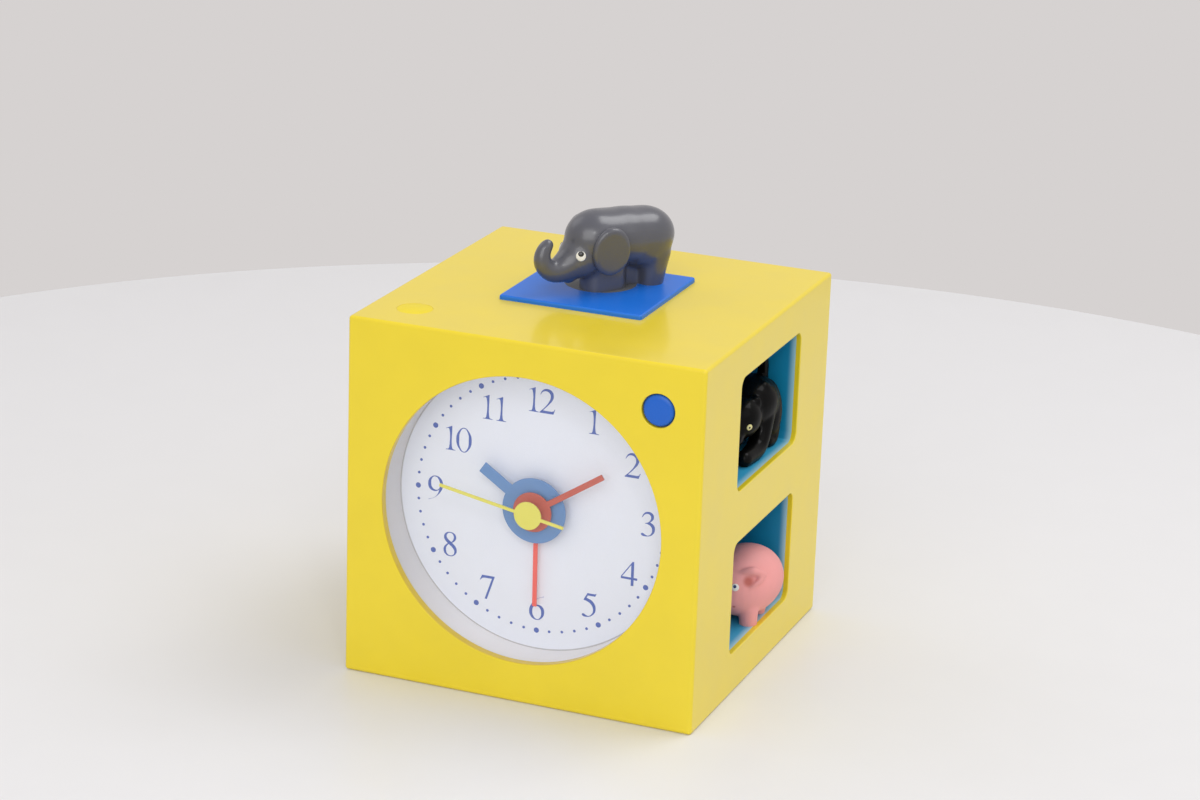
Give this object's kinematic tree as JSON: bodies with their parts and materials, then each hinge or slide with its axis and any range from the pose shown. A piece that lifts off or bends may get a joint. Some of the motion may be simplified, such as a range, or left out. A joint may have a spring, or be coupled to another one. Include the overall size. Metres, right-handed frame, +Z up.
{
  "type": "alarm clock",
  "caption": "Yellow cube alarm clock for children with a deep round dial, a figure plate on top and side niches that keep toy animal figures.",
  "frame": {"origin": "middle of the flat base of the cube", "axes": "+Z up, the dial faces -Y, the niches open towards +X"},
  "size_m": [0.1285, 0.125, 0.1542],
  "materials": {
    "case_yellow": "satin",
    "button_yellow": "satin",
    "button_blue": "satin",
    "plate_blue": "satin",
    "tray_blue": "satin",
    "reader_grey": "matt",
    "ring_white": "matt",
    "dial_white": "matt print",
    "clear": "clear acrylic",
    "hand_yellow": "satin paint",
    "hand_red": "satin paint",
    "hand_blue": "satin paint",
    "hand_coral": "satin paint",
    "movement_black": "fine grain",
    "gear_white": "natural acetal",
    "steel": "bright zinc",
    "iron": "stamped sheet",
    "copper": "enamelled wire",
    "brass": "turned",
    "board_green": "solder resist",
    "chip_black": "moulded",
    "can_silver": "drawn can",
    "rubber_grey": "matt",
    "knob_grey": "fine grain",
    "basket_black": "black lacquer",
    "paper_black": "felted paper",
    "cell_sleeve": "plain sleeve",
    "elephant_grey": "gloss lacquer",
    "panther_black": "gloss lacquer",
    "pig_pink": "soft matt"
  },
  "bodies": {
    "case": {"alarm_button_dome": "rubber_grey", "alarm_switch_board": "board_green", "battery_cells": "cell_sleeve", "battery_contacts": "steel", "board_screws": "steel", "capacitor": "can_silver", "case_shell": "case_yellow", "coil": "copper", "cover_screws": "steel", "crystal": "can_silver", "dial": "dial_white", "dial_ring": "ring_white", "dial_screws": "steel", "lens": "clear", "lower_tray": "tray_blue", "movement_back": "movement_black", "movement_board": "board_green", "movement_front": "movement_black", "movement_nut": "brass", "plate_screws": "steel", "reader_board": "board_green", "reader_disc": "reader_grey", "rear_cover": "case_yellow", "snooze_button_dome": "rubber_grey", "snooze_switch_board": "board_green", "sound_board": "board_green", "sound_chip": "chip_black", "speaker_cone": "paper_black", "speaker_frame": "basket_black", "speaker_magnet": "iron", "speaker_screws": "steel", "stator": "iron", "switch_screws": "steel", "top_plate": "plate_blue", "upper_tray": "tray_blue"},
    "seconds": {"second_hand": "hand_yellow", "second_wheel": "gear_white"},
    "step": {"step_wheel": "gear_white"},
    "rotor": {"rotor": "gear_white"},
    "third": {"third_wheel": "gear_white"},
    "centre": {"centre_wheel": "gear_white"},
    "time_set": {"minute_wheel": "gear_white", "time_stem": "knob_grey", "time_knob": "knob_grey"},
    "minutes": {"minute_hand": "hand_red", "minute_cannon": "gear_white"},
    "hours": {"hour_hand": "hand_blue", "hour_wheel": "gear_white"},
    "alarm_set": {"alarm_set_gear": "gear_white", "alarm_stem": "knob_grey", "alarm_knob": "knob_grey"},
    "alarm": {"alarm_hand": "hand_coral", "alarm_wheel": "gear_white"},
    "alarm_button": {"alarm_button": "button_blue"},
    "snooze_button": {"snooze_button": "button_yellow"},
    "door": {"battery_door": "case_yellow", "door_screw": "steel"},
    "elephant": {"elephant": "elephant_grey"},
    "panther": {"panther": "panther_black"},
    "pig": {"pig": "pig_pink"}
  },
  "joints": [
    {"name": "second_spin", "type": "hinge", "parent": "case", "child": "seconds", "pos_m": [0, -0.035, 0.0635], "axis": [0, 1, 0], "continuous": true},
    {"name": "step_spin", "type": "hinge", "parent": "case", "child": "step", "pos_m": [0, -0.035, 0.0505], "axis": [0, 1, 0], "continuous": true},
    {"name": "rotor_spin", "type": "hinge", "parent": "case", "child": "rotor", "pos_m": [0.01217, -0.035, 0.04724], "axis": [0, 1, 0], "continuous": true},
    {"name": "third_spin", "type": "hinge", "parent": "case", "child": "third", "pos_m": [0, -0.035, 0.07625], "axis": [0, 1, 0], "continuous": true},
    {"name": "centre_spin", "type": "hinge", "parent": "case", "child": "centre", "pos_m": [0, -0.035, 0.0635], "axis": [0, 1, 0], "continuous": true},
    {"name": "time_set_spin", "type": "hinge", "parent": "case", "child": "time_set", "pos_m": [-0.014, -0.035, 0.0635], "axis": [0, 1, 0], "continuous": true},
    {"name": "minute_spin", "type": "hinge", "parent": "case", "child": "minutes", "pos_m": [0, -0.035, 0.0635], "axis": [0, 1, 0], "continuous": true},
    {"name": "hour_spin", "type": "hinge", "parent": "case", "child": "hours", "pos_m": [0, -0.035, 0.0635], "axis": [0, 1, 0], "continuous": true},
    {"name": "alarm_set_spin", "type": "hinge", "parent": "case", "child": "alarm_set", "pos_m": [0.0145, -0.035, 0.0635], "axis": [0, 1, 0], "continuous": true},
    {"name": "alarm_spin", "type": "hinge", "parent": "case", "child": "alarm", "pos_m": [0, -0.035, 0.0635], "axis": [0, 1, 0], "continuous": true},
    {"name": "alarm_button_press", "type": "slide", "parent": "case", "child": "alarm_button", "axis": [0, 1, 0], "range_m": [0, 0.0015], "stiffness_N_per_m": 400, "springref_m": -0.001, "deforming": ["alarm_button_dome"]},
    {"name": "snooze_button_press", "type": "slide", "parent": "case", "child": "snooze_button", "axis": [0, 0, -1], "range_m": [0, 0.0015], "stiffness_N_per_m": 400, "springref_m": -0.001, "deforming": ["snooze_button_dome"]},
    {"name": "door_lift", "type": "slide", "parent": "case", "child": "door", "axis": [0, 1, 0], "range_m": [0, 0.03]},
    {"name": "elephant_lift", "type": "slide", "parent": "case", "child": "elephant", "axis": [0, 0, 1], "range_m": [0, 0.06]},
    {"name": "panther_out", "type": "slide", "parent": "case", "child": "panther", "axis": [1, 0, 0], "range_m": [0, 0.06]},
    {"name": "pig_out", "type": "slide", "parent": "case", "child": "pig", "axis": [1, 0, 0], "range_m": [0, 0.06]}
  ],
  "couplings": [
    {"joint": "step_spin", "follows": "second_spin", "ratio": -5},
    {"joint": "rotor_spin", "follows": "second_spin", "ratio": 30},
    {"joint": "third_spin", "follows": "second_spin", "ratio": -0.13333},
    {"joint": "centre_spin", "follows": "second_spin", "ratio": 0.016667},
    {"joint": "minute_spin", "follows": "time_set_spin", "ratio": -3},
    {"joint": "hour_spin", "follows": "time_set_spin", "ratio": -0.25},
    {"joint": "alarm_spin", "follows": "alarm_set_spin", "ratio": -0.33333}
  ]
}
